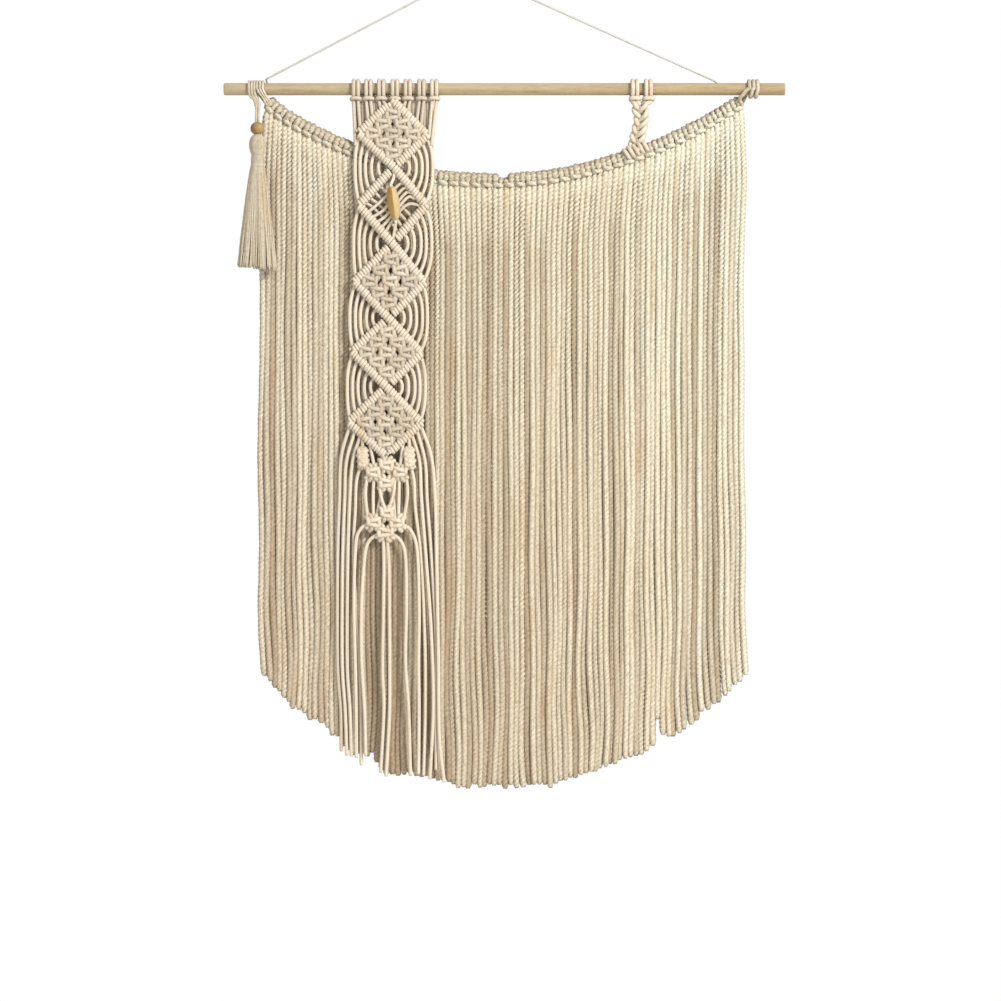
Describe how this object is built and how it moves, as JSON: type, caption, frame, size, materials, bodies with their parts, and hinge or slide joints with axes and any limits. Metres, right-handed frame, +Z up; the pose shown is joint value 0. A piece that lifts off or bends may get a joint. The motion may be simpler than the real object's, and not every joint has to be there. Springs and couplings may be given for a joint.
{
  "type": "macrame wall hanging with wooden rod",
  "caption": "Macrame wall hanging on a wooden rod: a sagging swag with a long rope fringe, a knotted column with a leaf bead, a braided strap and a tassel, hung by twine.",
  "frame": {"origin": "the point on the wall's nail where the hanging twine bends over it", "axes": "+X to the right along the rod as seen from the front, +Z up, +Y into the wall"},
  "size_m": [0.5611, 0.0293, 0.8183],
  "materials": {
    "rod_wood": "bare dowel, satin",
    "bead_wood": "stained, satin",
    "twisted_rope": "twisted cotton rope, matt",
    "smooth_cord": "smooth cotton cord, matt",
    "twine": "light grey twine, matt"
  },
  "bodies": {
    "root": {"rod": "rod_wood", "hanging_twine": "twine", "twine_knot_left": "twine", "twine_knot_right": "twine", "swag": "twisted_rope", "column": "smooth_cord", "leaf_bead": "bead_wood", "strap": "smooth_cord", "tassel": "smooth_cord", "tassel_bead": "bead_wood"}
  },
  "joints": []
}
